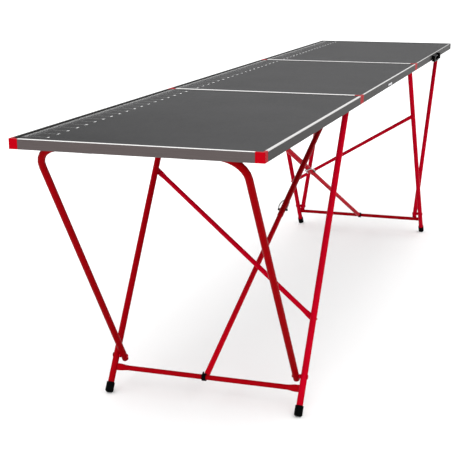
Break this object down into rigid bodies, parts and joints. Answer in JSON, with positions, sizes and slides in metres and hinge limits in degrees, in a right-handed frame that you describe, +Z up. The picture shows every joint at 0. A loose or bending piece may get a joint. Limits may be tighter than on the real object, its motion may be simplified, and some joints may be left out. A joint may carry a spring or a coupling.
{
  "type": "wallpaper pasting table",
  "caption": "Long folding wallpaper pasting table with hinged panels on red tubular folding end frames and telescopic stays.",
  "frame": {"origin": "on the floor under the middle of the table top", "axes": "+X along the table towards the far end, +Y across towards the side with the ruler, +Z up"},
  "size_m": [3, 0.6131, 0.775],
  "materials": {
    "board": "matt dark grey coating",
    "aluminium_frame": "grey satin, pale at the lip",
    "red_caps": "bright red",
    "red_tube": "glossy red powder coat",
    "black_plastic": "black",
    "boots": "black",
    "steel": "zinc plated"
  },
  "bodies": {
    "catch_hook": {"catch_hook": "steel"},
    "far_leg_frame": {"far_back_boot": "boots", "far_back_leg": "red_tube", "far_back_pivot_rivet": "red_tube", "far_brace": "red_tube", "far_crossbar": "red_tube", "far_front_boot": "boots", "far_front_leg": "red_tube", "far_front_pivot_rivet": "red_tube", "far_leg_top_rod": "steel", "far_stay_collar": "black_plastic"},
    "far_panel": {"far_board": "board", "far_cap_end_back": "black_plastic", "far_cap_end_front": "black_plastic", "far_cap_joint_back": "red_caps", "far_cap_joint_front": "red_caps", "far_frame": "aluminium_frame", "far_hinge_moving_leaf": "steel", "far_hoop_clips": "black_plastic", "far_leg_hooks": "steel", "handle_mount": "black_plastic"},
    "middle_panel": {"far_hinge_fixed_leaf": "steel", "far_stay_bracket": "steel", "middle_board": "board", "middle_cap_far_back": "red_caps", "middle_cap_far_front": "red_caps", "middle_cap_near_back": "red_caps", "middle_cap_near_front": "red_caps", "middle_frame": "aluminium_frame", "near_hinge_fixed_leaf": "steel", "near_stay_bracket": "steel"},
    "far_hoop": {"far_hoop": "red_tube"},
    "far_lock_bail": {"far_lock_bail": "steel"},
    "far_stay_inner": {"far_stay_lower": "red_tube"},
    "far_stay_outer": {"far_stay_upper": "red_tube"},
    "handle_grip": {"handle_grip": "black_plastic"},
    "near_leg_frame": {"near_back_boot": "boots", "near_back_leg": "red_tube", "near_back_pivot_rivet": "red_tube", "near_brace": "red_tube", "near_crossbar": "red_tube", "near_front_boot": "boots", "near_front_leg": "red_tube", "near_front_pivot_rivet": "red_tube", "near_leg_top_rod": "steel", "near_stay_collar": "black_plastic"},
    "near_panel": {"near_board": "board", "near_cap_end_back": "red_caps", "near_cap_end_front": "red_caps", "near_cap_joint_back": "red_caps", "near_cap_joint_front": "red_caps", "near_frame": "aluminium_frame", "near_hinge_moving_leaf": "steel", "near_hoop_clips": "black_plastic", "near_leg_hooks": "steel"},
    "near_hoop": {"near_hoop": "red_tube"},
    "near_lock_bail": {"near_lock_bail": "steel"},
    "near_stay_inner": {"near_stay_lower": "red_tube"},
    "near_stay_outer": {"near_stay_upper": "red_tube"}
  },
  "joints": [
    {"name": "near_panel_fold", "type": "hinge", "parent": "middle_panel", "child": "near_panel", "pos_m": [-0.5, 0, 0.7467], "axis": [0, -1, 0], "range_deg": [0, 65]},
    {"name": "near_hoop_swing", "type": "hinge", "parent": "near_panel", "child": "near_hoop", "pos_m": [-1.4785, 0, 0.757], "axis": [0, 1, 0], "range_deg": [0, 33.5]},
    {"name": "near_leg_swing", "type": "hinge", "parent": "near_hoop", "child": "near_leg_frame", "pos_m": [-1.01354, 0, 0.09123], "axis": [0, -1, 0], "range_deg": [0, 66.5]},
    {"name": "near_stay_swing", "type": "hinge", "parent": "middle_panel", "child": "near_stay_outer", "pos_m": [0.42, -0.047, 0.735], "axis": [-0.0323, -0.9995, 0], "range_deg": [0, 40.5]},
    {"name": "near_stay_slide", "type": "slide", "parent": "near_stay_outer", "child": "near_stay_inner", "axis": [0.9073, -0.0294, 0.4194], "range_m": [0, 0.278]},
    {"name": "near_bail_swing", "type": "hinge", "parent": "near_stay_outer", "child": "near_lock_bail", "pos_m": [-0.34397, -0.02227, 0.38187], "axis": [0.0323, 0.9995, 0], "range_deg": [0, 95]},
    {"name": "far_panel_fold", "type": "hinge", "parent": "middle_panel", "child": "far_panel", "pos_m": [0.5, 0, 0.7467], "axis": [0, 1, 0], "range_deg": [0, 65]},
    {"name": "far_hoop_swing", "type": "hinge", "parent": "far_panel", "child": "far_hoop", "pos_m": [1.4455, 0, 0.757], "axis": [0, -1, 0], "range_deg": [0, 33.5]},
    {"name": "far_leg_swing", "type": "hinge", "parent": "far_hoop", "child": "far_leg_frame", "pos_m": [0.98054, 0, 0.09123], "axis": [0, 1, 0], "range_deg": [0, 66.5]},
    {"name": "far_stay_swing", "type": "hinge", "parent": "middle_panel", "child": "far_stay_outer", "pos_m": [-0.455, 0.1, 0.735], "axis": [0.0686, 0.9976, 0], "range_deg": [0, 39.2]},
    {"name": "far_stay_slide", "type": "slide", "parent": "far_stay_outer", "child": "far_stay_inner", "axis": [-0.9062, 0.0623, 0.4183], "range_m": [0, 0.296]},
    {"name": "far_bail_swing", "type": "hinge", "parent": "far_stay_outer", "child": "far_lock_bail", "pos_m": [0.308, 0.04752, 0.38281], "axis": [-0.0686, -0.9976, 0], "range_deg": [0, 95]},
    {"name": "handle_swing", "type": "hinge", "parent": "far_panel", "child": "handle_grip", "pos_m": [0.986, -0.3067, 0.7585], "axis": [-1, 0, 0], "range_deg": [0, 100]},
    {"name": "catch_swing", "type": "hinge", "parent": "middle_panel", "child": "catch_hook", "pos_m": [-0.028, -0.3, 0.7595], "axis": [0, -1, 0], "range_deg": [0, 90]}
  ],
  "couplings": [
    {"joint": "near_hoop_swing", "follows": "near_panel_fold", "ratio": 0.50662},
    {"joint": "near_leg_swing", "follows": "near_panel_fold", "ratio": 1.0138},
    {"joint": "near_stay_swing", "follows": "near_panel_fold", "ratio": 0.61554},
    {"joint": "near_stay_slide", "follows": "near_panel_fold", "m_per_rad": 0.24196},
    {"joint": "far_hoop_swing", "follows": "far_panel_fold", "ratio": 0.50662},
    {"joint": "far_leg_swing", "follows": "far_panel_fold", "ratio": 1.0138},
    {"joint": "far_stay_swing", "follows": "far_panel_fold", "ratio": 0.59523},
    {"joint": "far_stay_slide", "follows": "far_panel_fold", "m_per_rad": 0.25871}
  ]
}
